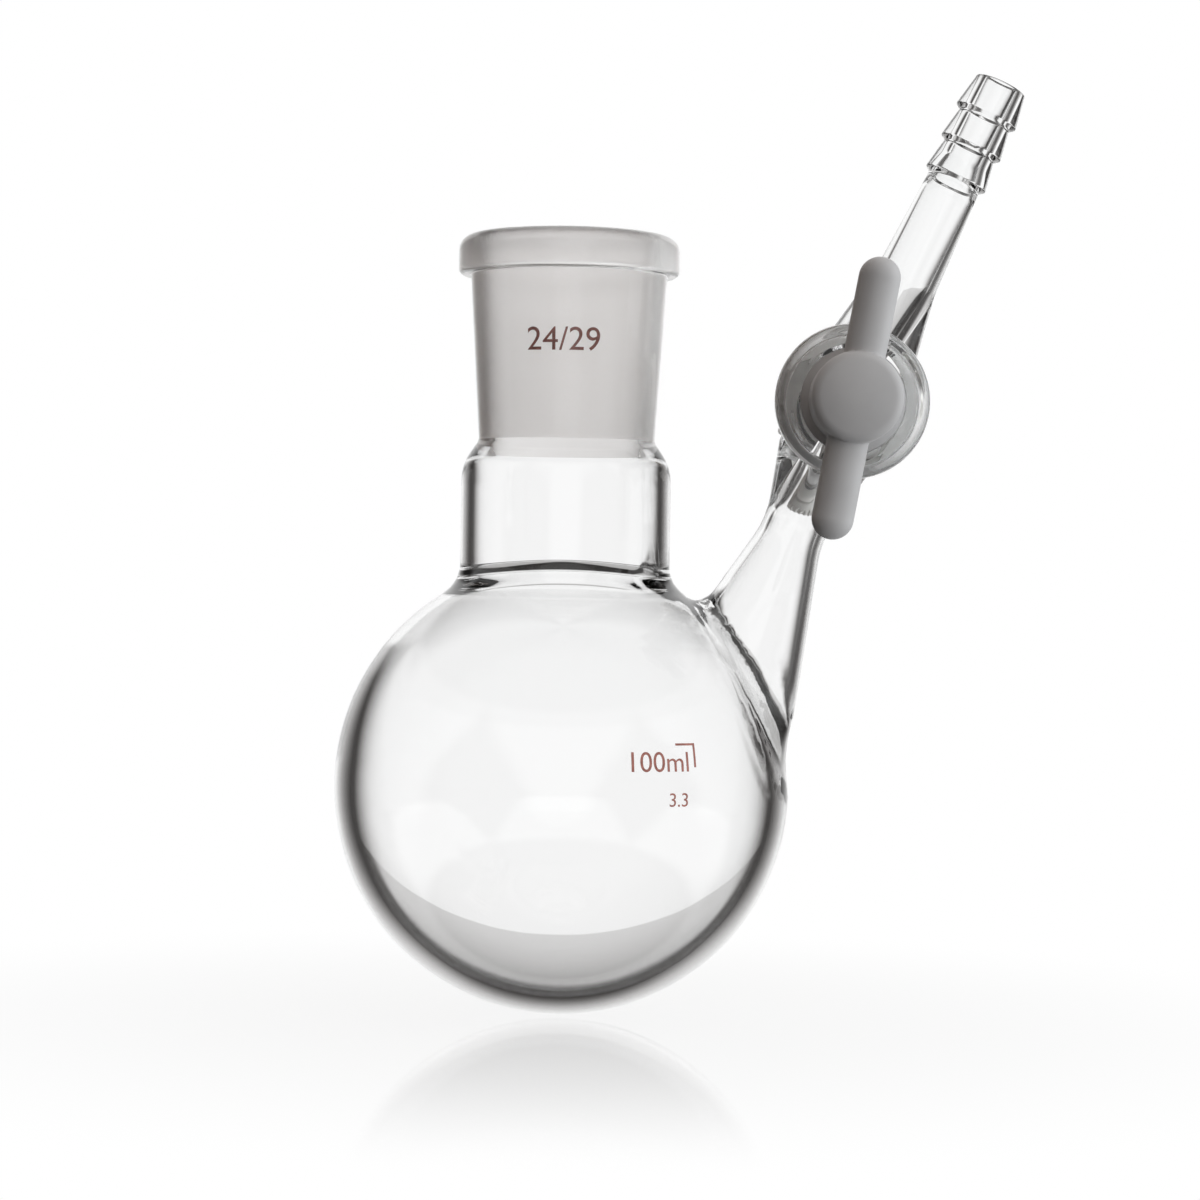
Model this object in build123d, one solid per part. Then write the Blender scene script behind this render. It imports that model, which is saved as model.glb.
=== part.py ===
from build123d import *
import os
from math import cos, radians, sin, sqrt

# A Schlenk flask: a round bulb with a ground socket on its neck, and a side arm that
# carries a stopcock and a hose nozzle. The glass is one fused piece.
# The origin is on the neck's axis, at the line where a clamp holds the flask.
# The neck's axis is Z, the side arm leans towards +X and the stopcock's handle faces -Y.
# All sizes are in millimetres.

# Bulb
BULB_OD = 64.0
BULB_WALL = 1.8
BULB_BOTTOM_EXTRA = 0.7  # more glass gathers at the bottom
BULB_TO_SHOULDER = 45.2  # from the bulb's centre up to the neck's shoulder

# Neck and ground socket, joint size 24/29
NECK_OD = 29.6
NECK_WALL = 1.5
NECK_FILLET = 5.0
CLAMP_TO_SHOULDER = 6.2
SHOULDER_LENGTH = 3.4
SHOULDER_ROUND = 7.0
SHOULDER_FOOT_ROUND = 1.5
SHOULDER_INNER_ROUND = 2.6
CLAMP_TO_SEAL = 6.9  # down to the ledge where the neck's tube was sealed to the bulb
SEAL_WIDTH = 0.6  # the blown wall under the ledge is thinner by this
SEAL_HEIGHT = 0.75
SOCKET_WALL = 1.85
GROUND_LENGTH = 29.0
GROUND_WIDE_D = 24.0
GROUND_TAPER = 1 / 10  # on the diameter
BEAD_PROUD = 1.75
BEAD_HEIGHT = 5.6
BEAD_ROUND = 2.2
BEAD_UNDER_ROUND = 0.8

# Stopcock barrel: its axis is parallel to Y
STOPCOCK_X = 39.1
STOPCOCK_RISE = 54.0  # above the bulb's centre
BARREL_FRONT = 17.0  # from the side arm's plane to the front face
BARREL_REAR = 16.0
BARREL_WALL = 2.1
FLANGE_PROUD = 1.6
FLANGE_THICKNESS = 3.4
FLANGE_ROUND = 1.4
BARREL_REAR_ROUND = 0.8
FLANGE_BACK_ROUND = 0.8
FLANGE_FILLET = 0.7
KEY_BORE_D = 14.5  # at the barrel's front face
KEY_TAPER = 1 / 5  # on the diameter
KEY_CLEARANCE = 0.03

# Side arm: two straight tubes that meet the barrel in one plane
LOWER_TILT = 21.6  # degrees from the neck's axis
UPPER_TILT = 25.1
SIDE_TUBE_OD = 9.2
SIDE_TUBE_BORE = 6.8
FLARE_OD = 13.4  # where a tube meets the barrel
LOWER_FLARE_LENGTH = 9.0
LOWER_TUBE_LENGTH = 3.5  # from the flare's end to where the horn starts to widen
UPPER_FLARE_LENGTH = 12.0
TUBE_ROUND = 12.0  # where a flare or the horn runs into the tube
PLUG_PASSAGE = 3.6  # through the barrel's wall and the key
HORN_ROOT_OD = 22.0
HORN_ROOT_BORE = 19.4
HORN_ROOT_DEPTH = 9.5
HORN_END_DEPTH = 15.0

# Hose nozzle at the upper tube's end
NOZZLE_REACH = 50.7  # from the barrel's axis to the tip
BARBS = 3
BARB_PITCH = 4.9
BARB_WIDE_OD = 9.2
BARB_NARROW_OD = 7.7
BARB_STEP = 0.6
TIP_OD = 7.4
NOZZLE_BORE = 4.6

# Stopcock key
HANDLE_TILT = 10.2  # degrees from Z, in the handle's plane
HANDLE_SPAN = 38.7
HANDLE_BAR_D = 5.7
HANDLE_GAP = 1.2  # between the barrel's flange and the handle
HANDLE_RISE = 3.8  # from the boss's foot to the bar's axis
BOSS_D = 12.4
BOSS_LENGTH = 9.2  # up to the middle of its domed end
BOSS_OVERLAP = 1.0  # of the boss with the plug
DOME_RADIUS = 16.0
DOME_EDGE = 1.8
TAIL_D = 6.6
TAIL_LENGTH = 13.0  # behind the barrel's rear face
TAIL_CHAMFER = 0.8
PLUG_INSET = 2.0  # from the barrel's rear face to the plug's thin end

# Washer, ring and nut on the key's tail
WASHER_OD = 14.0
WASHER_THICKNESS = 1.6
WASHER_GAP = 0.05
O_RING_SECTION = 1.8
TAIL_FIT = 0.04
NUT_OD = 15.0
NUT_LENGTH = 8.0
NUT_BORE_CLEARANCE = 0.05
NUT_CHAMFER = 0.9
NUT_RIBS = 24
NUT_RIB_D = 1.3
STACK_GAP = 0.02

# Places worked out from the sizes above
shoulder_z = CLAMP_TO_SHOULDER
bulb_z = shoulder_z - BULB_TO_SHOULDER
socket_z = shoulder_z + SHOULDER_LENGTH
rim_z = socket_z + GROUND_LENGTH
bulb_r = BULB_OD / 2
neck_r = NECK_OD / 2
ground_wide_r = GROUND_WIDE_D / 2
ground_narrow_r = (GROUND_WIDE_D - GROUND_TAPER * GROUND_LENGTH) / 2
stopcock_z = bulb_z + STOPCOCK_RISE
key_slope = KEY_TAPER / 2
mid_key_r = KEY_BORE_D / 2 - key_slope * BARREL_FRONT
barrel_half_width = mid_key_r + BARREL_WALL
past = 2.0  # how far a cutting shape runs past the face that it cuts

# Local frames: Z runs along the turned shape's own axis
stopcock_centre = (STOPCOCK_X, 0, stopcock_z)
barrel_frame = Plane(stopcock_centre, x_dir=(1, 0, 0), z_dir=(0, -1, 0))
lower_dir = (-sin(radians(LOWER_TILT)), 0, -cos(radians(LOWER_TILT)))
upper_dir = (sin(radians(UPPER_TILT)), 0, cos(radians(UPPER_TILT)))
lower_frame = Plane(stopcock_centre, x_dir=(0, 1, 0), z_dir=lower_dir)
upper_frame = Plane(stopcock_centre, x_dir=(0, 1, 0), z_dir=upper_dir)


def nearest(shape, x, y):
    return shape.vertices().sort_by_distance(Vector(x, y))[0]


def half_disc(radius, height):
    """The half of a disc that lies at X over 0, centred at a height."""
    return Pos(0, height) * Circle(radius) - Pos(-radius, height) * Rectangle(2 * radius, 2 * radius)


def turned(corners, ball=None, join=None):
    """A solid turned about Z, from its corners in order upwards.

    A corner is (radius, height), or (radius, height, rounding). A ball is (radius, height) of a
    sphere on the axis that the solid grows out of, and join is the corner where they meet.
    """
    outline = [corner[:2] for corner in corners]
    profile = Polygon((0, outline[0][1]), *outline, (0, outline[-1][1]), align=None)
    if ball:
        profile += half_disc(*ball)
    for corner in corners + ([join] if join else []):
        if len(corner) > 2:
            profile = fillet(nearest(profile, *corner[:2]), corner[2])
    return revolve(Plane.XZ * profile, Axis.Z)


def key_radius(height):
    """The bore's radius at a height along the barrel, measured from the side arm's plane."""
    return mid_key_r + key_slope * height


def bulb_distance():
    """How far along the lower tube's axis, from the barrel's axis, the bulb's surface lies."""
    along = STOPCOCK_X * -lower_dir[0] + STOPCOCK_RISE * -lower_dir[2]
    across_squared = STOPCOCK_X**2 + STOPCOCK_RISE**2 - along**2
    return along - sqrt(bulb_r**2 - across_squared)


def meets_ball(radius, ball_radius, ball_height):
    """The height over a ball's centre line at which a cylinder leaves the ball."""
    return ball_height + sqrt(ball_radius**2 - radius**2)


def vessel_outside():
    """Bulb, neck, socket and bead as one turned shape."""
    socket_low_r = ground_narrow_r + SOCKET_WALL
    socket_high_r = ground_wide_r + SOCKET_WALL
    bead_r = socket_high_r + BEAD_PROUD
    bead_low = rim_z - BEAD_HEIGHT
    corners = [
        (neck_r, bulb_z),
        (neck_r, shoulder_z, SHOULDER_ROUND),
        (socket_low_r, socket_z, SHOULDER_FOOT_ROUND),
        (socket_high_r, bead_low),
        (bead_r, bead_low, BEAD_UNDER_ROUND),
        (bead_r, rim_z, BEAD_ROUND),
    ]
    join = (neck_r, meets_ball(neck_r, bulb_r, bulb_z), NECK_FILLET)
    return turned(corners, (bulb_r, bulb_z), join)


def vessel_inside():
    """The hollow of the bulb, the neck and the tapered socket."""
    hollow_r = bulb_r - BULB_WALL
    hollow_z = bulb_z + BULB_BOTTOM_EXTRA
    passage_r = neck_r - NECK_WALL
    mouth_r = passage_r + SEAL_WIDTH
    corners = [
        (mouth_r, hollow_z),
        (mouth_r, -CLAMP_TO_SEAL - SEAL_HEIGHT),
        (passage_r, -CLAMP_TO_SEAL),
        (passage_r, shoulder_z, SHOULDER_INNER_ROUND),
        (ground_narrow_r, socket_z, SHOULDER_INNER_ROUND),
        (ground_wide_r + GROUND_TAPER / 2 * past, rim_z + past),
    ]
    join = (mouth_r, meets_ball(mouth_r, hollow_r, hollow_z), NECK_FILLET + neck_r - mouth_r)
    return turned(corners, (hollow_r, hollow_z), join)


def lower_arm(foot_r, foot, tube_r, root_r):
    """The lower tube, from the barrel's axis down to its horn inside the bulb."""
    at_bulb = bulb_distance()
    flare_end = barrel_half_width + LOWER_FLARE_LENGTH
    corners = [
        (foot_r, 0),
        (foot_r, foot),
        (tube_r, flare_end, TUBE_ROUND),
        (tube_r, flare_end + LOWER_TUBE_LENGTH, TUBE_ROUND),
        (root_r, at_bulb + HORN_ROOT_DEPTH, TUBE_ROUND),
        (root_r, at_bulb + HORN_END_DEPTH),
    ]
    return lower_frame * turned(corners)


def barbs():
    """The corners of the hose nozzle's barbs, from the tube up to the tip."""
    corners = []
    for barb in range(BARBS, 0, -1):
        wide_at = NOZZLE_REACH - barb * BARB_PITCH
        corners.append((BARB_NARROW_OD / 2, wide_at - BARB_STEP))
        corners.append((BARB_WIDE_OD / 2, wide_at))
    corners.append((TIP_OD / 2, NOZZLE_REACH))
    return corners


def upper_arm_outside():
    """The upper tube with its hose nozzle."""
    corners = [
        (FLARE_OD / 2, 0),
        (FLARE_OD / 2, barrel_half_width),
        (SIDE_TUBE_OD / 2, barrel_half_width + UPPER_FLARE_LENGTH, TUBE_ROUND),
    ]
    return upper_frame * turned(corners + barbs())


def upper_arm_inside():
    """The bore from the key up through the nozzle."""
    barbs_low = NOZZLE_REACH - BARBS * BARB_PITCH
    corners = [
        (PLUG_PASSAGE / 2, 0),
        (PLUG_PASSAGE / 2, mid_key_r),
        (SIDE_TUBE_BORE / 2, barrel_half_width + UPPER_FLARE_LENGTH, TUBE_ROUND),
        (SIDE_TUBE_BORE / 2, barbs_low - BARB_PITCH / 2),
        (NOZZLE_BORE / 2, barbs_low + BARB_PITCH / 2),
        (NOZZLE_BORE / 2, NOZZLE_REACH + past),
    ]
    return upper_frame * turned(corners)


def barrel_outside():
    """The barrel follows the bore's taper, and ends in a flange at the front."""
    flange_low = BARREL_FRONT - FLANGE_THICKNESS
    flange_r = key_radius(flange_low) + BARREL_WALL + FLANGE_PROUD
    corners = [
        (key_radius(-BARREL_REAR) + BARREL_WALL, -BARREL_REAR, BARREL_REAR_ROUND),
        (key_radius(flange_low) + BARREL_WALL, flange_low, FLANGE_FILLET),
        (flange_r, flange_low, FLANGE_BACK_ROUND),
        (flange_r, BARREL_FRONT, FLANGE_ROUND),
    ]
    return barrel_frame * turned(corners)


def barrel_inside():
    """The tapered bore that the key turns in."""
    ends = [-BARREL_REAR - past, BARREL_FRONT + past]
    return barrel_frame * turned([(key_radius(end), end) for end in ends])


def glass_body():
    outside = vessel_outside() + barrel_outside() + upper_arm_outside()
    outside += lower_arm(FLARE_OD / 2, barrel_half_width, SIDE_TUBE_OD / 2, HORN_ROOT_OD / 2)
    inside = vessel_inside() + barrel_inside() + upper_arm_inside()
    inside += lower_arm(PLUG_PASSAGE / 2, mid_key_r, SIDE_TUBE_BORE / 2, HORN_ROOT_BORE / 2)
    return outside - inside


def handle_bar(centre_height):
    """A straight bar with round ends across the barrel's axis."""
    reach = (HANDLE_SPAN - HANDLE_BAR_D) / 2
    bar = Rot(90, 0, 0) * Cylinder(HANDLE_BAR_D / 2, 2 * reach)
    for end in (-reach, reach):
        bar += Pos(0, end, 0) * Sphere(HANDLE_BAR_D / 2)
    return Rot(0, 0, -HANDLE_TILT) * Pos(0, 0, centre_height) * bar


def domed_boss(low, high):
    """The short post that carries the bar, with a rounded edge and a shallow dome."""
    side = Pos(BOSS_D / 4, (low + high) / 2) * Rectangle(BOSS_D / 2, high - low)
    profile = side & Pos(0, high - DOME_RADIUS) * Circle(DOME_RADIUS)
    profile = fillet(nearest(profile, BOSS_D / 2, high), DOME_EDGE)
    return revolve(Plane.XZ * profile, Axis.Z)


def stopcock_key():
    """One turned plug with its tail, its cross bore, the boss and the bar of the handle."""
    handle_low = BARREL_FRONT + HANDLE_GAP
    tail_low = -BARREL_REAR - TAIL_LENGTH
    plug_low = -BARREL_REAR + PLUG_INSET
    plug = [
        (TAIL_D / 2 - TAIL_CHAMFER, tail_low),
        (TAIL_D / 2, tail_low + TAIL_CHAMFER),
        (TAIL_D / 2, plug_low),
        (key_radius(plug_low) - KEY_CLEARANCE, plug_low),
        (key_radius(BARREL_FRONT) - KEY_CLEARANCE, BARREL_FRONT),
        (BOSS_D / 2, handle_low),
        (BOSS_D / 2, handle_low + BOSS_OVERLAP),
    ]
    boss = domed_boss(handle_low, handle_low + BOSS_LENGTH)
    key = turned(plug) + boss + handle_bar(handle_low + HANDLE_RISE)
    passage = Rot(90, 0, 0) * Cylinder(PLUG_PASSAGE / 2, KEY_BORE_D * 2)
    return barrel_frame * (key - Rot(0, 0, -HANDLE_TILT) * passage)


def ring(outer_r, inner_r, low, high):
    return Pos(0, 0, (low + high) / 2) * (Cylinder(outer_r, high - low) - Cylinder(inner_r, high - low))


washer_high = -BARREL_REAR - WASHER_GAP
washer_low = washer_high - WASHER_THICKNESS
ring_high = washer_low - STACK_GAP
ring_low = ring_high - O_RING_SECTION
nut_high = ring_low - STACK_GAP
nut_low = nut_high - NUT_LENGTH
sleeve_r = TAIL_D / 2 + TAIL_FIT


def key_washer():
    return barrel_frame * ring(WASHER_OD / 2, sleeve_r, washer_low, washer_high)


def key_o_ring():
    centre = (ring_low + ring_high) / 2
    major_r = sleeve_r + O_RING_SECTION / 2
    return barrel_frame * Pos(0, 0, centre) * Torus(major_r, O_RING_SECTION / 2)


def key_nut():
    """A hand nut with ribs round its edge for grip."""
    nut = ring(NUT_OD / 2, TAIL_D / 2 + NUT_BORE_CLEARANCE, nut_low, nut_high)
    nut = chamfer(nut.edges().filter_by(GeomType.CIRCLE).group_by(SortBy.RADIUS)[-1], NUT_CHAMFER)
    rib = Pos(NUT_OD / 2, 0, (nut_low + nut_high) / 2) * Cylinder(NUT_RIB_D / 2, NUT_LENGTH - 2 * NUT_CHAMFER)
    for index in range(NUT_RIBS):
        nut += Rot(0, 0, index * 360 / NUT_RIBS) * rib
    return barrel_frame * nut


nodes = {
    "glass_body": glass_body,
    "stopcock_key": stopcock_key,
    "key_washer": key_washer,
    "key_o_ring": key_o_ring,
    "key_nut": key_nut,
}
os.makedirs("parts", exist_ok=True)
for name, make in nodes.items():
    export_step(make(), f"parts/{name}.step")
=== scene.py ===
# %% [markdown]
# A Schlenk flask is a round-bottomed glass flask with a second way in: a side arm with a
# stopcock, through which a chemist pumps out air and lets in a dry gas.
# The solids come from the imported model, and this script gives them their looks. The glass is
# modelled again here, because refraction shows every facet of a coarse mesh.
# The lower bulb gets an even wall of 2.25 mm here, and the ring at the neck's seal sags a
# little, because both change what the glass refracts. The outer surface is the solid's.

# %% Load the frame
from math import asin, atan2, cos, degrees, pi, radians, sin, sqrt, tan

import bmesh
import bpy
from mathutils import Matrix, Vector
from mathutils.kdtree import KDTree


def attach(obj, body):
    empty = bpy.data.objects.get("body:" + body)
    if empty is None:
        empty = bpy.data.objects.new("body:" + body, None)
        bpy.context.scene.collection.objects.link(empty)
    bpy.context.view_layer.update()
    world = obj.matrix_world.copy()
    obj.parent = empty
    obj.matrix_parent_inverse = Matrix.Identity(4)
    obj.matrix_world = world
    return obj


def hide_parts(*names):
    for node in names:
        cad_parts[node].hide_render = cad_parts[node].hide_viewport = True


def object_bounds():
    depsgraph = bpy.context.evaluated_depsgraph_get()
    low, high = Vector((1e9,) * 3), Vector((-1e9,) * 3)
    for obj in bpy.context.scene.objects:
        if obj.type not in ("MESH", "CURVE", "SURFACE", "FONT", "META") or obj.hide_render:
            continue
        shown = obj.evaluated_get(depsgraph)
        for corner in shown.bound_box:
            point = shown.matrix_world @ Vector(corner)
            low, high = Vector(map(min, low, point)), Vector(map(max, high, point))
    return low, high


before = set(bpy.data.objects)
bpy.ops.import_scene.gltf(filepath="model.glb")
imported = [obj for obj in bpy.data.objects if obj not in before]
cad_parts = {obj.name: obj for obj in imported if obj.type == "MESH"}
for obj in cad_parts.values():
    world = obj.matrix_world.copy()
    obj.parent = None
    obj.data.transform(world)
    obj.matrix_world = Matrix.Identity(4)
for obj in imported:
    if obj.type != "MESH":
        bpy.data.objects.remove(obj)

cad_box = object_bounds()
print("solids reach from", cad_box[0], "to", cad_box[1])

# %% [markdown]
# Everything below is drawn in millimetres, because that is how glassware is measured, and is
# brought to Blender's metres when a mesh is finished. The sizes are the flask's own: a bulb of
# 64 mm, a 24/29 ground socket and a stopcock whose axis runs from front to back.

# %% Sizes of the vessel
MM = 0.001
BULB_R, BULB_Z = 32.0, -39.0
HOLLOW_R, HOLLOW_Z, BULB_WALL = 30.2, -38.3, 2.25
NECK_R, NECK_INNER_R = 14.8, 13.3
NECK_FILLET = 5.0
SEAL_FILLET, SEAL_R, SEAL_CREST, SEAL_TOP = 5.9, 12.3, -8.9, -7.4
SEAL_SAG, SEAL_REACH = 1.4, 4.0
SHOULDER_Z, SOCKET_Z, RIM_Z = 6.2, 9.6, 38.6
NECK_TOP_ROUND = 7.0
GROUND_LOW_R, GROUND_HIGH_R = 10.55, 12.0
SOCKET_WALL = 1.85
BEAD_R, BEAD_LOW = 15.6, 33.0
print("bulb from", BULB_Z - BULB_R, "mm, rim at", RIM_Z, "mm")

# %% Sizes of the side arm
STOPCOCK = Vector((39.1, 0.0, 15.0))
LOWER_TILT, UPPER_TILT = 21.6, 25.1
TUBE_R, TUBE_BORE_R = 4.6, 3.4
FLARE_R = 6.7
PASSAGE_R = 1.8
NOZZLE_REACH, BARB_PITCH, BARBS = 50.7, 4.9, 3
BARB_WIDE_R, BARB_NARROW_R, BARB_STEP, TIP_R, NOZZLE_BORE_R = 4.6, 3.85, 0.6, 3.7, 2.3
BARREL_FRONT, BARREL_REAR = 17.0, -16.0
BARREL_WALL = 2.1
FLANGE_LOW, FLANGE_R = 13.6, 10.61
FLARE_END, HORN_START, BULB_ON_TUBE = 16.65, 20.15, 37.2  # down the lower tube
UPPER_FLARE, TUBE_ROUND = 12, 12
HORN_R, HORN_BORE_R = 11.0, 9.7


def key_radius(height):
    """The stopcock's tapered bore: its radius at a height along the barrel."""
    return 5.55 + 0.1 * height


print("bore of the stopcock", 2 * key_radius(BARREL_REAR), "to", 2 * key_radius(BARREL_FRONT), "mm")

# %% [markdown]
# Glass is blown and turned, so each part of it starts as a half outline that is spun about an
# axis. The pen below grows that outline one vertex at a time. Round stretches are spun vertices,
# so they are true arcs with as many steps as their length needs.

# %% A pen for outlines
class Outline:
    """Draws half a turned shape on the XZ plane, upwards from its lowest point."""

    def __init__(self, x, z):
        self.mesh = bmesh.new()
        self.tip = self.mesh.verts.new((x, 0, z))

    def line(self, x, z):
        grown = bmesh.ops.extrude_vert_indiv(self.mesh, verts=[self.tip])
        self.tip = grown["verts"][0]
        self.tip.co = (x, 0, z)

    def arc(self, x, z, angle, step=3.0):
        """Swings the pen about a centre by an angle in degrees, anticlockwise if it is positive."""
        steps = max(2, round(abs(angle) / step))
        spun = bmesh.ops.spin(self.mesh, geom=[self.tip], cent=(x, 0, z), axis=(0, -1, 0),
                              angle=radians(angle), steps=steps)
        self.tip = [part for part in spun["geom_last"] if isinstance(part, bmesh.types.BMVert)][0]

    def corner(self, here, after, rounding, step=9.0):
        """Goes to a corner and rounds it, ready to go on to the point after it."""
        start = Vector((self.tip.co.x, self.tip.co.z))
        arriving = (Vector(here) - start).normalized()
        leaving = (Vector(after) - Vector(here)).normalized()
        turn = atan2(arriving.x * leaving.y - arriving.y * leaving.x, arriving.dot(leaving))
        side = Vector((-arriving.y, arriving.x)) * (1 if turn > 0 else -1)
        tangent = Vector(here) - arriving * rounding * tan(abs(turn) / 2)
        centre = tangent + side * rounding
        self.line(*tangent)
        self.arc(*centre, degrees(turn), step)

    def path(self, corners):
        """Draws a row of corners, each (x, z) or (x, z, rounding)."""
        for index, corner in enumerate(corners):
            if len(corner) > 2:
                self.corner(corner[:2], corners[index + 1][:2], corner[2])
            else:
                self.line(*corner)

    def cut_long_stretches(self, longest):
        """Adds points along straight stretches, so that the faces stay small everywhere."""
        for edge in self.mesh.edges[:]:
            cuts = int(edge.calc_length() / longest)
            if cuts:
                bmesh.ops.subdivide_edges(self.mesh, edges=[edge], cuts=cuts)

    def turned(self, name, steps, place=None, longest=1.0):
        """Spins the outline into a closed solid, and puts it in its place."""
        self.cut_long_stretches(longest)
        everything = self.mesh.verts[:] + self.mesh.edges[:]
        bmesh.ops.spin(self.mesh, geom=everything, cent=(0, 0, 0), axis=(0, 0, 1),
                       angle=2 * pi, steps=steps, use_merge=True)
        bmesh.ops.remove_doubles(self.mesh, verts=self.mesh.verts, dist=0.0001)
        bmesh.ops.recalc_face_normals(self.mesh, faces=self.mesh.faces)
        if place is not None:
            bmesh.ops.transform(self.mesh, matrix=place, verts=self.mesh.verts)
        return as_object(self.mesh, name)


def as_object(mesh, name):
    """Turns a bmesh into an object of the scene."""
    data = bpy.data.meshes.new(name)
    mesh.to_mesh(data)
    mesh.free()
    made = bpy.data.objects.new(name, data)
    bpy.context.scene.collection.objects.link(made)
    return made


def along(direction):
    """A frame on the stopcock's centre whose Z runs along a direction."""
    return Matrix.Translation(STOPCOCK) @ Vector(direction).to_track_quat("Z", "Y").to_matrix().to_4x4()


lower_tube = along((-sin(radians(LOWER_TILT)), 0, -cos(radians(LOWER_TILT))))
upper_tube = along((sin(radians(UPPER_TILT)), 0, cos(radians(UPPER_TILT))))
barrel = along((0, -1, 0))

# %% [markdown]
# The vessel is two turned solids: the space that the glass and its contents fill together, and
# the hollow. Taking one from the other leaves the wall. The hollow sits a little higher than
# the bulb, so its lower part is then moved to leave an even wall there.

# %% The vessel, outside and inside
def bulb_and_neck(ball_r, ball_z, neck_r, fillet, unfinished=0):
    """A ball that runs into a neck of its own radius over a fillet, or over most of one."""
    centre_x = neck_r + fillet
    centre_z = ball_z + sqrt((ball_r + fillet) ** 2 - centre_x**2)
    lean = degrees(asin(centre_x / (ball_r + fillet)))
    pen = Outline(0, ball_z - ball_r)
    pen.arc(0, ball_z, 180 - lean, 2.0)
    pen.arc(centre_x, centre_z, -(90 - lean - unfinished), 5.0)
    return pen


def vessel_outside():
    pen = bulb_and_neck(BULB_R, BULB_Z, NECK_R, NECK_FILLET)
    pen.path([
        (NECK_R, SHOULDER_Z, NECK_TOP_ROUND),
        (GROUND_LOW_R + SOCKET_WALL, SOCKET_Z, 1.5),
        (GROUND_HIGH_R + SOCKET_WALL, BEAD_LOW, 0.3),
        (BEAD_R, BEAD_LOW, 0.8),
        (BEAD_R, RIM_Z, 2.2),
        (GROUND_HIGH_R, RIM_Z),
        (0, RIM_Z),
    ])
    return pen.turned("vessel_outside", 192)


def vessel_inside():
    pen = bulb_and_neck(HOLLOW_R, HOLLOW_Z, NECK_INNER_R, SEAL_FILLET, 43)
    pen.path([
        (SEAL_R, SEAL_CREST, 0.4),
        (NECK_INNER_R, SEAL_TOP, 0.3),
        (NECK_INNER_R, SHOULDER_Z, 2.6),
        (GROUND_LOW_R, SOCKET_Z, 2.6),
        (GROUND_HIGH_R + 0.1, RIM_Z + 2),
        (0, RIM_Z + 2),
    ])
    return sagged(evened(pen.turned("vessel_inside", 192)))


def evened(hollow):
    """Gives the lower bulb a wall of one thickness, which runs out towards the neck."""
    for vert in hollow.data.vertices:
        low = min(1.0, max(0.0, (-20.0 - vert.co.z) / 16.0))
        out = sqrt(vert.co.x ** 2 + vert.co.y ** 2 + (vert.co.z - BULB_Z) ** 2)
        grown = 1 + ((BULB_R - BULB_WALL) / out - 1) * low
        vert.co.xy *= grown
        vert.co.z = BULB_Z + (vert.co.z - BULB_Z) * grown
    return hollow


def sagged(hollow):
    """Lets the ring of glass at the seal droop to the left and right, where it also thins out."""
    for vert in hollow.data.vertices:
        aside = (vert.co.x / NECK_INNER_R) ** 2
        near = max(0.0, 1 - abs(vert.co.z - SEAL_CREST) / SEAL_REACH)
        radius = vert.co.xy.length
        if near and radius < NECK_INNER_R:
            vert.co.xy *= 1 + (NECK_INNER_R / radius - 1) * min(aside, 1) * 0.8
        vert.co.z -= SEAL_SAG * min(aside, 1.5) * near * near * (3 - 2 * near)
    return hollow


# %% The side arm, outside and inside
def lower_arm(name, foot_r, foot, tube_r, root_r):
    pen = Outline(0, 0)
    pen.path([
        (foot_r, 0),
        (foot_r, foot),
        (tube_r, FLARE_END, TUBE_ROUND),
        (tube_r, HORN_START, TUBE_ROUND),
        (root_r, BULB_ON_TUBE + 9.5, TUBE_ROUND),
        (root_r, BULB_ON_TUBE + 15),
        (0, BULB_ON_TUBE + 15),
    ])
    return pen.turned(name, 96, lower_tube)


def upper_arm_outside():
    foot = key_radius(0) + BARREL_WALL
    corners = [(FLARE_R, 0), (FLARE_R, foot), (TUBE_R, foot + UPPER_FLARE, TUBE_ROUND)]
    for barb in range(BARBS, 0, -1):
        wide_at = NOZZLE_REACH - barb * BARB_PITCH
        corners += [(BARB_NARROW_R, wide_at - BARB_STEP, 0.3), (BARB_WIDE_R, wide_at, 0.25)]
    corners += [(TIP_R, NOZZLE_REACH, 0.3), (0, NOZZLE_REACH)]
    pen = Outline(0, 0)
    pen.path(corners)
    return pen.turned("upper_arm_outside", 96, upper_tube)


def upper_arm_inside():
    low = NOZZLE_REACH - BARBS * BARB_PITCH
    pen = Outline(0, 0)
    pen.path([
        (PASSAGE_R, 0),
        (PASSAGE_R, key_radius(0)),
        (TUBE_BORE_R, key_radius(0) + BARREL_WALL + UPPER_FLARE, TUBE_ROUND),
        (TUBE_BORE_R, low - BARB_PITCH / 2, 3),
        (NOZZLE_BORE_R, low + BARB_PITCH / 2, 3),
        (NOZZLE_BORE_R, NOZZLE_REACH + 2),
        (0, NOZZLE_REACH + 2),
    ])
    return pen.turned("upper_arm_inside", 64, upper_tube)


def barrel_outside():
    pen = Outline(0, BARREL_REAR)
    pen.path([
        (key_radius(BARREL_REAR) + BARREL_WALL, BARREL_REAR, 0.8),
        (key_radius(FLANGE_LOW) + BARREL_WALL, FLANGE_LOW, 0.7),
        (FLANGE_R, FLANGE_LOW, 0.8),
        (FLANGE_R, BARREL_FRONT, 1.4),
        (0, BARREL_FRONT),
    ])
    return pen.turned("barrel_outside", 128, barrel)


def barrel_inside():
    low, high = BARREL_REAR - 2, BARREL_FRONT + 2
    pen = Outline(0, low)
    pen.path([(key_radius(low), low), (key_radius(high), high), (0, high)])
    return pen.turned("barrel_inside", 128, barrel)


# %% [markdown]
# A glassblower melts these parts together, and the seams flow into soft fillets. The Boolean
# modifier joins the solids exactly, and then the vertices near each seam are smoothed a few
# times, which rounds the seam in the way that surface tension does.

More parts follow.
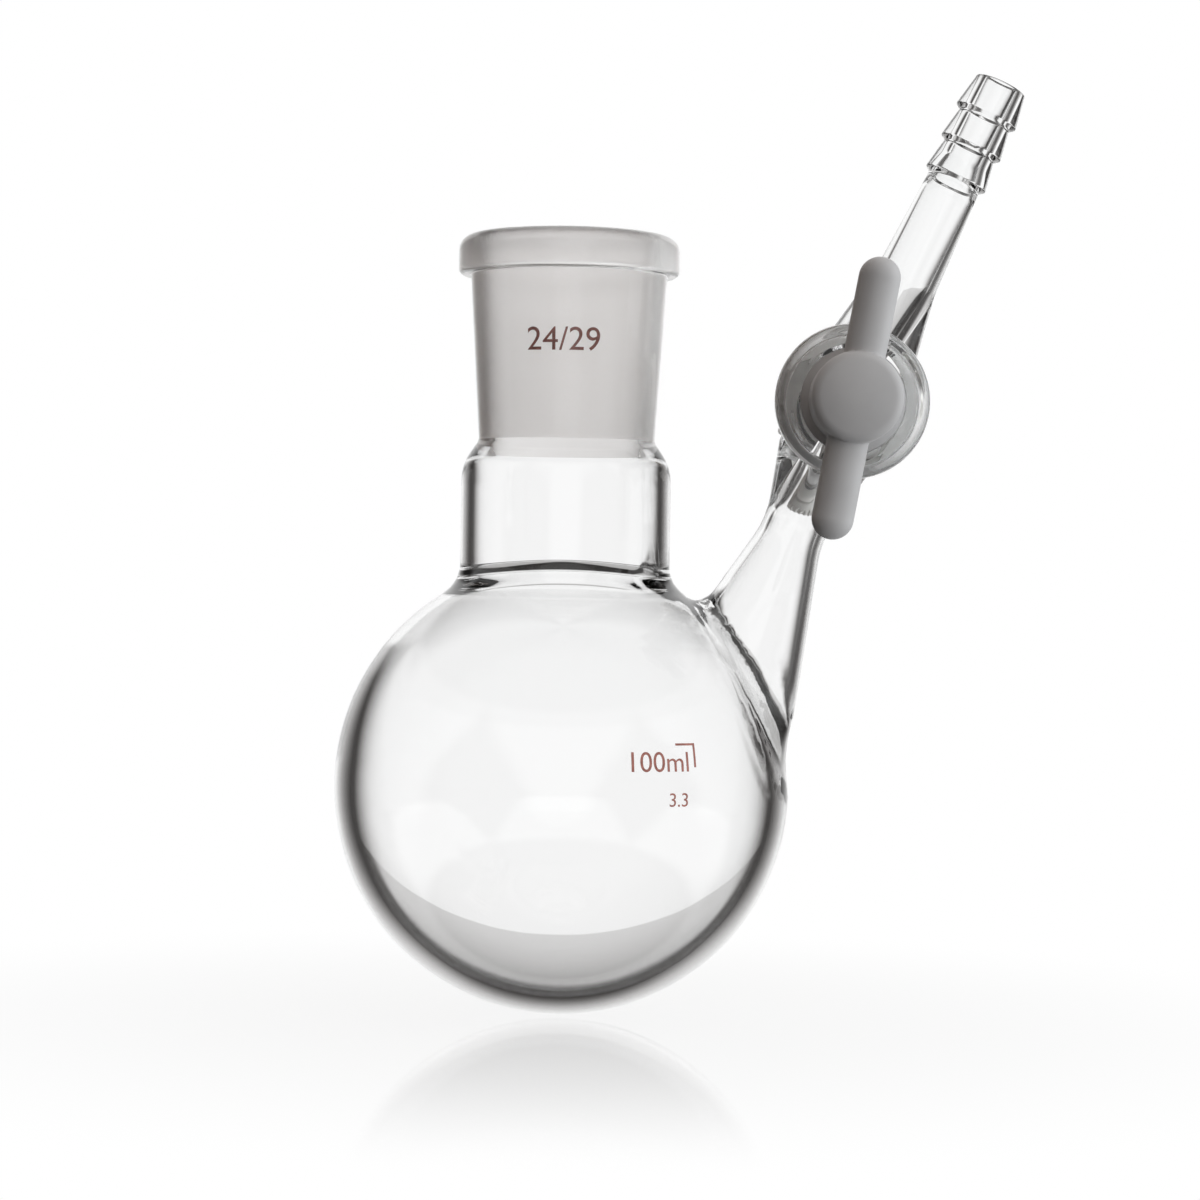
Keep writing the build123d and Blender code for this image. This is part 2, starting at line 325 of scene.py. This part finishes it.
# %% Joining solids
def combined(name, base, others, operation):
    """Joins or cuts solids, and returns one new object in place of them all."""
    for other in others:
        joining = base.modifiers.new(other.name, "BOOLEAN")
        joining.object = other
        joining.operation = operation
        joining.solver = "EXACT"
    graph = bpy.context.evaluated_depsgraph_get()
    data = bpy.data.meshes.new_from_object(base.evaluated_get(graph))
    for used in [base] + others:
        bpy.data.objects.remove(used)
    made = bpy.data.objects.new(name, data)
    bpy.context.scene.collection.objects.link(made)
    return made


def soften_seams(piece, reach, rounds, spared):
    """Smooths the vertices within reach of a sharp seam, apart from the seams that are spared."""
    mesh = bmesh.new()
    mesh.from_mesh(piece.data)
    seam = {vert for edge in mesh.edges
            if edge.is_manifold and edge.calc_face_angle() > radians(22)
            and not spared((edge.verts[0].co + edge.verts[1].co) / 2)
            for vert in edge.verts}
    tree = KDTree(len(seam))
    for index, vert in enumerate(seam):
        tree.insert(vert.co, index)
    tree.balance()
    near = [vert for vert in mesh.verts if tree.find(vert.co)[2] < reach]
    for _ in range(rounds):
        bmesh.ops.smooth_vert(mesh, verts=near, factor=0.5,
                              use_axis_x=True, use_axis_y=True, use_axis_z=True)
    print(piece.name, "softened", len(near), "vertices round", len(seam), "on its seams")
    mesh.to_mesh(piece.data)
    mesh.free()


def on_turned_edge(point):
    """Whether a point is on the nozzle, the rim or a barrel end, whose edges stay as drawn."""
    up_the_arm = (point - STOPCOCK).dot(upper_tube.to_3x3().col[2])
    return up_the_arm > 30 or point.z > 30 or abs(point.y) > 12.5


def not_at_horn(point):
    """Whether a point is away from the place where the side arm's horn meets the bulb."""
    return point.z > -3 or point.x < 12


outside = combined("outside", vessel_outside(), [
    lower_arm("lower_outside", FLARE_R, key_radius(0) + BARREL_WALL, TUBE_R, HORN_R),
    barrel_outside(),
    upper_arm_outside(),
], "UNION")
soften_seams(outside, 5.0, 45, not_at_horn)
soften_seams(outside, 2.2, 10, on_turned_edge)
inside = combined("inside", vessel_inside(), [
    lower_arm("lower_inside", PASSAGE_R, key_radius(0), TUBE_BORE_R, HORN_BORE_R),
    upper_arm_inside(),
], "UNION")
soften_seams(inside, 5.0, 45, not_at_horn)
inside = combined("hollow", inside, [barrel_inside()], "UNION")
flask_glass = combined("flask_glass", outside, [inside], "DIFFERENCE")


def finish_mesh(piece):
    """Brings a piece to metres and shades it smooth, apart from its real edges."""
    piece.data.transform(Matrix.Scale(MM, 4))
    for face in piece.data.polygons:
        face.use_smooth = True
    piece.data.set_sharp_from_angle(angle=radians(35))


finish_mesh(flask_glass)
print("glass has", len(flask_glass.data.polygons), "faces")

# %% [markdown]
# A material starts as one Principled shader, and small nodes vary it. All of them read Object
# coordinates, so the pattern stays on the piece when the key turns.

# %% Helpers for materials
def new_material(name):
    made = bpy.data.materials.new(name)
    made.use_nodes = True
    nodes, links = made.node_tree.nodes, made.node_tree.links
    return made, nodes, links, nodes["Principled BSDF"]


def noise(nodes, links, scale, detail):
    """A noise texture in Object coordinates. Its scale is in features per metre."""
    place = nodes.new("ShaderNodeTexCoord")
    texture = nodes.new("ShaderNodeTexNoise")
    texture.inputs["Scale"].default_value = scale
    texture.inputs["Detail"].default_value = detail
    links.new(place.outputs["Object"], texture.inputs["Vector"])
    return texture.outputs["Fac"]


def shades(nodes, links, value, dark, light):
    """A colour that runs from dark to light with a value from 0.3 to 0.7."""
    ramp_node = nodes.new("ShaderNodeValToRGB")
    ramp_node.color_ramp.elements[0].position = 0.3
    ramp_node.color_ramp.elements[0].color = (*dark, 1)
    ramp_node.color_ramp.elements[1].position = 0.7
    ramp_node.color_ramp.elements[1].color = (*light, 1)
    links.new(value, ramp_node.inputs["Fac"])
    return ramp_node.outputs["Color"]


def bumps(nodes, links, value, strength, distance, shader):
    """Raises the surface by a value, in the normals only."""
    bump = nodes.new("ShaderNodeBump")
    bump.inputs["Strength"].default_value = strength
    bump.inputs["Distance"].default_value = distance
    links.new(value, bump.inputs["Height"])
    links.new(bump.outputs["Normal"], shader.inputs["Normal"])


def give(piece, *materials):
    piece.data.materials.clear()
    for material in materials:
        piece.data.materials.append(material)


# %% [markdown]
# Clear borosilicate glass refracts at 1.47, and blowing it leaves faint waves. The ground inside
# of the socket and the lapped bore of the stopcock are the same glass with a sandy surface that
# scatters light, so they are a second and a third material on the same mesh.

# %% Glass
def clear_glass():
    """Polished glass, whose faint waves are in its normals only."""
    made, nodes, links, shader = new_material("clear_glass")
    shader.inputs["Roughness"].default_value = 0.0
    shader.inputs["IOR"].default_value = 1.47
    shader.inputs["Transmission Weight"].default_value = 1.0
    tint = shades(nodes, links, noise(nodes, links, 30, 1), (0.994, 0.997, 0.997), (1.0, 1.0, 1.0))
    links.new(tint, shader.inputs["Base Color"])
    bumps(nodes, links, noise(nodes, links, 70, 1), 0.12, 0.0002, shader)
    return made


def ground_glass(name, transmission, dark, light):
    """Sanded or lapped glass: grainy, and partly clear."""
    made, nodes, links, shader = new_material(name)
    shader.inputs["Roughness"].default_value = 0.32
    shader.inputs["IOR"].default_value = 1.47
    shader.inputs["Transmission Weight"].default_value = transmission
    grain = shades(nodes, links, noise(nodes, links, 4000, 3), dark, light)
    links.new(grain, shader.inputs["Base Color"])
    bumps(nodes, links, noise(nodes, links, 9000, 2), 0.3, 0.00005, shader)
    return made


def in_socket(centre):
    """Whether a face is on the ground bore of the socket."""
    x, y, z = centre / MM
    return SOCKET_Z < z < RIM_Z - 0.3 and sqrt(x * x + y * y) < GROUND_HIGH_R + 0.05


def in_barrel(centre):
    """Whether a face is on the lapped bore that the key turns in."""
    from_axis = centre / MM - STOPCOCK
    if not BARREL_REAR + 0.5 < -from_axis.y < BARREL_FRONT - 0.3:
        return False
    return abs(sqrt(from_axis.x ** 2 + from_axis.z ** 2) - key_radius(-from_axis.y)) < 0.05


give(flask_glass, clear_glass(),
     ground_glass("ground_glass", 0.66, (0.97, 0.95, 0.94), (1.0, 0.985, 0.978)),
     ground_glass("lapped_glass", 0.5, (0.62, 0.63, 0.63), (0.7, 0.71, 0.71)))
for face in flask_glass.data.polygons:
    face.material_index = 1 if in_socket(face.center) else 2 if in_barrel(face.center) else 0
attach(flask_glass, "flask")
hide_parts("glass_body")
print("ground faces:", sum(face.material_index > 0 for face in flask_glass.data.polygons))

# %% [markdown]
# Labware carries its capacity, its glass type and its joint size in fired enamel. Each mark is
# drawn flat, cut into strips so that it can bend, and wrapped round the turned glass.

# %% Enamel marks
MARK_LIFT, MARK_THICKNESS = 0.01, 0.04
STRIP = 0.4


def flat_words(words, size):
    """Lettering as a flat bmesh on the XZ plane, centred on its middle."""
    curve = bpy.data.curves.new(words, "FONT")
    curve.body = words
    curve.size = size
    curve.align_x = "CENTER"
    curve.align_y = "CENTER"
    holder = bpy.data.objects.new(words, curve)
    bpy.context.scene.collection.objects.link(holder)
    graph = bpy.context.evaluated_depsgraph_get()
    data = bpy.data.meshes.new_from_object(holder.evaluated_get(graph))
    bpy.data.objects.remove(holder)
    mesh = bmesh.new()
    mesh.from_mesh(data)
    bmesh.ops.rotate(mesh, cent=(0, 0, 0), matrix=Matrix.Rotation(pi / 2, 3, "X"), verts=mesh.verts)
    return mesh


def flat_bracket(width, height, line):
    """Two thin bars that meet in the top right corner."""
    mesh = bmesh.new()
    for x, z, long, tall in ((-width / 2, -line / 2, width, line), (-line / 2, -height / 2, line, height)):
        bar = bmesh.ops.create_grid(mesh, x_segments=1, y_segments=1, size=0.5)["verts"]
        bmesh.ops.scale(mesh, vec=(long, tall, 1), verts=bar)
        bmesh.ops.rotate(mesh, cent=(0, 0, 0), matrix=Matrix.Rotation(pi / 2, 3, "X"), verts=bar)
        bmesh.ops.translate(mesh, vec=(x, 0, z), verts=bar)
    return mesh


def cut_into_strips(mesh):
    for axis in (Vector((1, 0, 0)), Vector((0, 0, 1))):
        reach = [vert.co.dot(axis) for vert in mesh.verts]
        place = min(reach) + STRIP
        while place < max(reach):
            bmesh.ops.bisect_plane(mesh, geom=mesh.verts[:] + mesh.edges[:] + mesh.faces[:],
                                   plane_co=axis * place, plane_no=axis)
            place += STRIP


def bulb_radius(z):
    return sqrt(BULB_R**2 - (z - BULB_Z) ** 2)


def socket_radius(z):
    slope = (GROUND_HIGH_R - GROUND_LOW_R) / (RIM_Z - SOCKET_Z)
    return GROUND_LOW_R + SOCKET_WALL + slope * (z - SOCKET_Z)


def wrapped(mesh, name, radius_at, turn, height):
    """Wraps a flat mark round the glass, turned in degrees from the front towards +X."""
    cut_into_strips(mesh)
    grown = bmesh.ops.extrude_face_region(mesh, geom=mesh.faces[:])
    raised = {part for part in grown["geom"] if isinstance(part, bmesh.types.BMVert)}
    middle = radius_at(height)
    for vert in mesh.verts:
        angle = radians(turn) + vert.co.x / middle
        z = height + vert.co.z
        radius = radius_at(z) + MARK_LIFT + (MARK_THICKNESS if vert in raised else 0)
        vert.co = (radius * sin(angle), -radius * cos(angle), z)
    bmesh.ops.recalc_face_normals(mesh, faces=mesh.faces)
    bmesh.ops.scale(mesh, vec=(MM, MM, MM), verts=mesh.verts)
    mark = as_object(mesh, name)
    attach(mark, "flask")
    give(mark, enamel())
    print(name, "has", len(mark.data.polygons), "faces")


def enamel():
    """Fired red-brown enamel, thin in places."""
    made, nodes, links, shader = new_material("red_enamel")
    shader.inputs["Roughness"].default_value = 0.45
    worn = shades(nodes, links, noise(nodes, links, 1500, 2), (0.22, 0.07, 0.05), (0.36, 0.14, 0.11))
    links.new(worn, shader.inputs["Base Color"])
    return made


wrapped(flat_words("100ml", 3.8), "capacity", bulb_radius, 24.7, -34.2)
wrapped(flat_bracket(3.0, 3.2, 0.3), "capacity_bracket", bulb_radius, 35.0, -31.6)
wrapped(flat_words("3.3", 2.6), "glass_type", bulb_radius, 29.9, -39.2)
wrapped(flat_words("24/29", 4.6), "joint_size", socket_radius, -2.2, 23.0)

# %% [markdown]
# The key is one piece of PTFE: a tapered plug, a domed boss with a straight bar through it for a
# handle, and a threaded tail. The bar's seam is softened as the mould rounds it. The thread is
# drawn by moving the tail's vertices in and out along a helix.

# %% Sizes of the key and of what holds it
KEY_CLEARANCE = 0.03
HANDLE_TILT, HANDLE_SPAN, HANDLE_R = 10.2, 38.7, 2.85
BOSS_R, BOSS_LOW, BOSS_TOP = 6.2, 18.2, 27.4
DOME_R, DOME_EDGE = 16.0, 1.8
HANDLE_HEIGHT = 22.0
TAIL_R, TAIL_END, PLUG_LOW = 3.3, -29.0, -14.0
THREAD_PITCH, THREAD_DEPTH, THREAD_TOP = 1.0, 0.35, -20.0
WASHER_LOW, WASHER_HIGH, WASHER_R = -17.65, -16.05, 7.0
RING_SECTION_R, RING_LOW = 0.9, -19.47
NUT_LOW, NUT_HIGH, NUT_R, NUT_CHAMFER = -27.49, -19.49, 7.5, 0.9
NUT_RIBS, NUT_RIB_R = 24, 0.65
SLEEVE_R, NUT_BORE_R = 3.34, 3.35


# %% Key
def plug():
    crown_z = BOSS_TOP - DOME_R
    edge_x = BOSS_R - DOME_EDGE
    edge_z = crown_z + sqrt((DOME_R - DOME_EDGE) ** 2 - edge_x**2)
    edge_turn = degrees(atan2(edge_z - crown_z, edge_x))
    pen = Outline(0, TAIL_END)
    pen.path([
        (TAIL_R - 0.8, TAIL_END, 0.2),
        (TAIL_R, TAIL_END + 0.8, 0.2),
        (TAIL_R, PLUG_LOW),
        (key_radius(PLUG_LOW) - KEY_CLEARANCE, PLUG_LOW, 0.3),
        (key_radius(BARREL_FRONT) - KEY_CLEARANCE, BARREL_FRONT, 0.3),
        (BOSS_R, BOSS_LOW),
        (BOSS_R, edge_z),
    ])
    pen.arc(edge_x, edge_z, edge_turn, 6.0)
    pen.arc(0, crown_z, 90 - edge_turn, 1.5)
    return pen.turned("plug", 96, barrel, 0.4)


def handle_bar():
    reach = HANDLE_SPAN / 2 - HANDLE_R
    pen = Outline(0, -HANDLE_SPAN / 2)
    pen.arc(0, -reach, 90, 7.5)
    pen.line(HANDLE_R, reach)
    pen.arc(0, reach, 90, 7.5)
    centre = Matrix.Translation(STOPCOCK + Vector((0, -HANDLE_HEIGHT, 0)))
    return pen.turned("bar", 64, centre @ Matrix.Rotation(radians(HANDLE_TILT), 4, "Y"), 0.4)


def cross_bore():
    pen = Outline(0, -10)
    pen.path([(PASSAGE_R, -10), (PASSAGE_R, 10), (0, 10)])
    return pen.turned("cross_bore", 48, Matrix.Translation(STOPCOCK) @ Matrix.Rotation(radians(HANDLE_TILT), 4, "Y"))


def threaded(piece):
    """Moves the tail's vertices along a helix, deepest halfway between two turns."""
    to_key = barrel.inverted()
    for vert in piece.data.vertices:
        local = to_key @ vert.co
        radius = sqrt(local.x**2 + local.y**2)
        if local.z < THREAD_TOP and radius > TAIL_R - 0.1:
            turn = (local.z / THREAD_PITCH - atan2(local.y, local.x) / (2 * pi)) % 1.0
            depth = THREAD_DEPTH * min(1, abs(2 * turn - 1) * 1.6)
            local.xy *= (radius - depth) / radius
            vert.co = barrel @ local


key = combined("key_solid", plug(), [handle_bar()], "UNION")
soften_seams(key, 1.2, 6, lambda point: (point - STOPCOCK).y > -BOSS_LOW)
key = combined("key", key, [cross_bore()], "DIFFERENCE")
threaded(key)
finish_mesh(key)
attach(key, "key")
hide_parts("stopcock_key")
print("key has", len(key.data.polygons), "faces")


# %% Washer, ring and nut
def ring_piece(name, corners, steps=96):
    """Turns a closed outline that stays clear of the axis."""
    pen = Outline(*corners[0])
    pen.path(corners[1:] + [corners[0]])
    return pen.turned(name, steps, barrel)


def rubber_ring():
    pen = Outline(SLEEVE_R, RING_LOW + RING_SECTION_R)
    pen.arc(SLEEVE_R + RING_SECTION_R, RING_LOW + RING_SECTION_R, 360, 11.25)
    return pen.turned("o_ring", 96, barrel)


def hand_nut():
    """A nut with round ribs, drawn as one outline and pulled along the axis; its chamfers come from the envelope it
    is cut to.
    """
    mesh = bmesh.new()
    made = bmesh.ops.create_circle(mesh, cap_ends=True, segments=NUT_RIBS * 12, radius=NUT_R)
    for vert in made["verts"]:
        angle = atan2(vert.co.y, vert.co.x) * NUT_RIBS / (2 * pi)
        off = (angle - round(angle)) * 2 * pi * NUT_R / NUT_RIBS
        if abs(off) < NUT_RIB_R:
            vert.co *= 1 + sqrt(NUT_RIB_R**2 - off**2) / NUT_R
    low = mesh.faces[:]
    grown = bmesh.ops.extrude_face_region(mesh, geom=low)
    top = [part for part in grown["geom"] if isinstance(part, bmesh.types.BMVert)]
    bmesh.ops.translate(mesh, vec=(0, 0, NUT_HIGH - NUT_LOW), verts=top)
    bmesh.ops.translate(mesh, vec=(0, 0, NUT_LOW), verts=mesh.verts)
    bmesh.ops.recalc_face_normals(mesh, faces=mesh.faces)
    bmesh.ops.transform(mesh, matrix=barrel, verts=mesh.verts)
    return as_object(mesh, "nut_outline")


def nut_envelope():
    pen = Outline(NUT_BORE_R, NUT_LOW)
    wide = NUT_R + NUT_RIB_R
    pen.path([
        (NUT_R - NUT_CHAMFER, NUT_LOW),
        (wide, NUT_LOW + NUT_CHAMFER + NUT_RIB_R, 0.3),
        (wide, NUT_HIGH - NUT_CHAMFER - NUT_RIB_R, 0.3),
        (NUT_R - NUT_CHAMFER, NUT_HIGH),
        (NUT_BORE_R + 0.4, NUT_HIGH),
        (NUT_BORE_R, NUT_HIGH - 0.4),
        (NUT_BORE_R, NUT_LOW),
    ])
    return pen.turned("nut_envelope", 144, barrel)


washer = ring_piece("washer", [
    (SLEEVE_R, WASHER_LOW), (WASHER_R, WASHER_LOW, 0.25), (WASHER_R, WASHER_HIGH, 0.25), (SLEEVE_R, WASHER_HIGH),
])
o_ring = rubber_ring()
nut = combined("nut", hand_nut(), [nut_envelope()], "INTERSECT")
for piece, body, slot, node in (
    (washer, "key", "washer", "key_washer"),
    (o_ring, "key", "rubber", "key_o_ring"),
    (nut, "nut", "nut", "key_nut"),
):
    finish_mesh(piece)
    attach(piece, body)
    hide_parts(node)
    print(piece.name, "has", len(piece.data.polygons), "faces")


# %% Plastics and rubber
def soft_plastic(name, dark, light, roughness, grain):
    """PTFE and its like: cloudy in the large, faintly grainy in the small."""
    made, nodes, links, shader = new_material(name)
    shader.inputs["Roughness"].default_value = roughness
    cloud = shades(nodes, links, noise(nodes, links, 120, 3), dark, light)
    links.new(cloud, shader.inputs["Base Color"])
    bumps(nodes, links, noise(nodes, links, grain, 2), 0.15, 0.00004, shader)
    return made


give(key, soft_plastic("ptfe_grey", (0.31, 0.31, 0.315), (0.35, 0.35, 0.355), 0.5, 2500))
give(washer, soft_plastic("ptfe_white", (0.62, 0.62, 0.60), (0.68, 0.68, 0.66), 0.45, 2500))
give(o_ring, soft_plastic("black_rubber", (0.018, 0.018, 0.018), (0.03, 0.03, 0.03), 0.55, 6000))
give(nut, soft_plastic("nut_white", (0.58, 0.58, 0.56), (0.66, 0.66, 0.64), 0.4, 3000))
print("plastics and rubber on the key, washer, ring and nut")

# %% [markdown]
# The floor is white and turns to plain white light away from the flask, so that no edge of it
# shows. Near the flask it keeps the shadow and a soft mirror image, as a glossy table does. Only
# the camera sees it, because light from below would flatten the key.

# %% Floor
FLOOR_Z = cad_box[0][2] - 0.0005
floor_mesh = bmesh.new()
bmesh.ops.create_grid(floor_mesh, x_segments=1, y_segments=1, size=3.0)
bmesh.ops.translate(floor_mesh, vec=(0, 0, FLOOR_Z), verts=floor_mesh.verts)
floor = as_object(floor_mesh, "floor")
made, nodes, links, shader = new_material("floor_white")
nodes.remove(shader)
path = nodes.new("ShaderNodeLightPath")
diffuse = nodes.new("ShaderNodeBsdfDiffuse")
diffuse.inputs["Color"].default_value = (0.85, 0.85, 0.85, 1)
white = nodes.new("ShaderNodeEmission")
clear = nodes.new("ShaderNodeBsdfTransparent")
mirror = nodes.new("ShaderNodeBsdfGlossy")
mirror.inputs["Roughness"].default_value = 0.0
place = nodes.new("ShaderNodeTexCoord")
far = nodes.new("ShaderNodeVectorMath")
far.operation = "LENGTH"
links.new(place.outputs["Object"], far.inputs[0])


def fade(low, high, start, end):
    """A value that runs from start to end between two distances from the flask, in metres."""
    node = nodes.new("ShaderNodeMapRange")
    node.interpolation_type = "SMOOTHSTEP"
    node.inputs["From Min"].default_value = low
    node.inputs["From Max"].default_value = high
    node.inputs["To Min"].default_value = start
    node.inputs["To Max"].default_value = end
    links.new(far.outputs["Value"], node.inputs["Value"])
    return node.outputs["Result"]


def mixed(factor, first, second):
    node = nodes.new("ShaderNodeMixShader")
    links.new(factor, node.inputs[0])
    links.new(first.outputs[0], node.inputs[1])
    links.new(second.outputs[0], node.inputs[2])
    return node


lit_floor = mixed(fade(0.03, 0.12, 0.93, 1.0), diffuse, white)
polished = mixed(fade(0.06, 0.15, 0.35, 0.0), lit_floor, mirror)
seen = mixed(path.outputs["Is Camera Ray"], clear, polished)
links.new(seen.outputs[0], nodes["Material Output"].inputs["Surface"])
give(floor, made)
print("floor at", round(FLOOR_Z * 1000, 2), "mm")

# %% [markdown]
# Clear glass shows only what it bends and mirrors, so the studio is drawn for it in the world.
# Bright windows stand at the four sides and at the corners between them, and the dark strips
# between the windows are what draws the glass's edges. Light that any matte surface has
# scattered sees a plain, soft studio instead, brighter on the right.

# %% Helpers for the world
world = bpy.data.worlds.new("studio")
bpy.context.scene.world = world
world.use_nodes = True
world.cycles.sampling_method = "NONE"
nodes, links = world.node_tree.nodes, world.node_tree.links


def calc(operation, *values):
    node = nodes.new("ShaderNodeMath")
    node.operation = operation
    for socket, value in zip(node.inputs, values):
        if isinstance(value, (int, float)):
            socket.default_value = value
        else:
            links.new(value, socket)
    return node.outputs[0]


def rise(value, low, high, kind="SMOOTHSTEP"):
    """0 below low and 1 above high. With low over high it falls instead."""
    node = nodes.new("ShaderNodeMapRange")
    node.interpolation_type = kind
    links.new(value, node.inputs["Value"])
    node.inputs["From Min"].default_value = low
    node.inputs["From Max"].default_value = high
    return node.outputs["Result"]


def brightest(first, *others):
    for other in others:
        first = calc("MAXIMUM", first, other)
    return first


def times(*values):
    product = values[0]
    for value in values[1:]:
        product = calc("MULTIPLY", product, value)
    return product


def distance(across, along_it):
    return calc("SQRT", calc("ADD", calc("POWER", across, 2.0), calc("POWER", along_it, 2.0)))


# %% [markdown]
# Every direction has an elevation and an angle to the nearest side. The four sides are alike, so
# that the glass looks the same from each of them.

# %% Directions
split = nodes.new("ShaderNodeSeparateXYZ")
links.new(nodes.new("ShaderNodeTexCoord").outputs["Generated"], split.inputs[0])
east, north, up = split.outputs["X"], split.outputs["Y"], split.outputs["Z"]
elevation = calc("DEGREES", calc("ARCSINE", up))
quarter_wave = calc("COSINE", calc("MULTIPLY", calc("ARCTAN2", north, east), 4.0))
from_side = calc("DIVIDE", calc("DEGREES", calc("ARCCOSINE", quarter_wave)), 4.0)
from_corner = calc("SUBTRACT", 45.0, from_side)

# %% [markdown]
# A ray that has met a mirror in the glass is counted apart. It sees no corner window, because
# that would draw bright patches across the dark rim of the bulb.

# %% Kinds of ray
path = nodes.new("ShaderNodeLightPath")
unmirrored = calc("LESS_THAN", path.outputs["Glossy Depth"], 0.5)
any_mirror = calc("SUBTRACT", 1.0, unmirrored)
once_in_wall = times(any_mirror, calc("LESS_THAN", path.outputs["Transmission Depth"], 2.5))
inner_bounce = times(any_mirror, calc("GREATER_THAN", path.outputs["Transmission Depth"], 2.5))
scattered = brightest(path.outputs["Is Diffuse Ray"],
                      calc("GREATER_THAN", path.outputs["Diffuse Depth"], 0.5))
print("kinds of ray: straight, mirrored in the wall, mirrored in the hollow, scattered")

# %% [markdown]
# Each side has a tall white backdrop that opens upwards, with a step down to a grey counter
# whose edge is round. A window stands low at each corner, and one lies underneath. The ceiling
# is dark.

# %% Windows that clear glass bends
opening = calc("MULTIPLY", calc("MAXIMUM", elevation, 0.0), 0.9)
across = rise(calc("SUBTRACT", from_side, opening), 26.0, 10.0)
from_middle = distance(from_side, calc("MINIMUM", elevation, 0.0))
backdrop = calc("ADD", rise(elevation, -9.2, -8.8),
                times(rise(elevation, -17.0, -9.0, "LINEAR"), 0.25))
counter = calc("MINIMUM", calc("ADD", backdrop, times(rise(from_middle, 20.6, 17.2), 0.5)), 1.0)
shaded = times(inner_bounce, rise(elevation, 10.0, 6.0))
side_window = times(across, counter, calc("MULTIPLY_ADD", shaded, -0.85, 1.0))
corner_distance = distance(from_corner, calc("ADD", elevation, 20.0))
corner_window = times(rise(corner_distance, 18.0, 6.0), unmirrored)
underneath = times(rise(elevation, -60.0, -75.0), unmirrored)
ceiling = calc("MULTIPLY_ADD", rise(elevation, 36.0, 30.0), 0.92, 0.08)
windows = times(brightest(side_window, corner_window, underneath), ceiling)
print("windows at 4 sides, at 4 corners and underneath")

# %% Windows that glass mirrors
mirror_window = times(rise(from_side, 41.0, 14.0), rise(elevation, -43.0, -22.0))
facing = rise(north, 0.3, -0.3)
front = times(facing, 0.45)
back = times(calc("SUBTRACT", 1.0, facing), calc("MULTIPLY_ADD", mirror_window, 0.92, 0.08))
is_mirror = brightest(path.outputs["Is Reflection Ray"], times(once_in_wall, 0.6))
mirrored = times(is_mirror, calc("ADD", front, back))
behind = times(rise(north, 0.1, -0.5), 0.3)
studio = brightest(windows, mirrored, behind, 0.02)
print("mirrors see a back window, a grey front wall and a grey room behind")

# %% Soft light for matte surfaces
sky = calc("MULTIPLY_ADD", up, 0.6, calc("MULTIPLY_ADD", north, 0.3, 1.0))
soft = times(brightest(calc("MULTIPLY_ADD", east, 1.6, sky), 0.0), 0.88)
light = calc("ADD", times(scattered, soft), times(calc("SUBTRACT", 1.0, scattered), studio))
level = brightest(light, path.outputs["Is Camera Ray"])
warm_side = times(rise(east, 0.2, -0.7), scattered)
warm = nodes.new("ShaderNodeCombineColor")
for channel, power, loss in (("Red", 1.0, 0.0), ("Green", 1.02, -0.34), ("Blue", 1.03, -0.55)):
    tinted = times(calc("POWER", level, power), calc("MULTIPLY_ADD", warm_side, loss, 1.0))
    links.new(tinted, warm.inputs[channel])
links.new(warm.outputs["Color"], nodes["Background"].inputs["Color"])
nodes["Background"].inputs["Strength"].default_value = 1.0
print("world has", len(nodes), "nodes")

# %% [markdown]
# A long lens, held at the height of the bulb's top, keeps the neck's sides straight. The small
# roll tips the flask in the picture, as a clamp holds it.

# %% Camera
camera_data = bpy.data.cameras.new("camera")
camera_data.lens = 98.1
camera_data.sensor_width = 36.0
camera_data.clip_start = 0.01
camera = bpy.data.objects.new("camera", camera_data)
bpy.context.scene.collection.objects.link(camera)
camera.location = (0.00506, -0.462, -0.01336)
camera.rotation_euler = (radians(90.0876), radians(-0.88), 0)
bpy.context.scene.camera = camera
bpy.context.scene.view_settings.view_transform = "Standard"
print("camera is", round(camera.location.length, 3), "m from the origin")
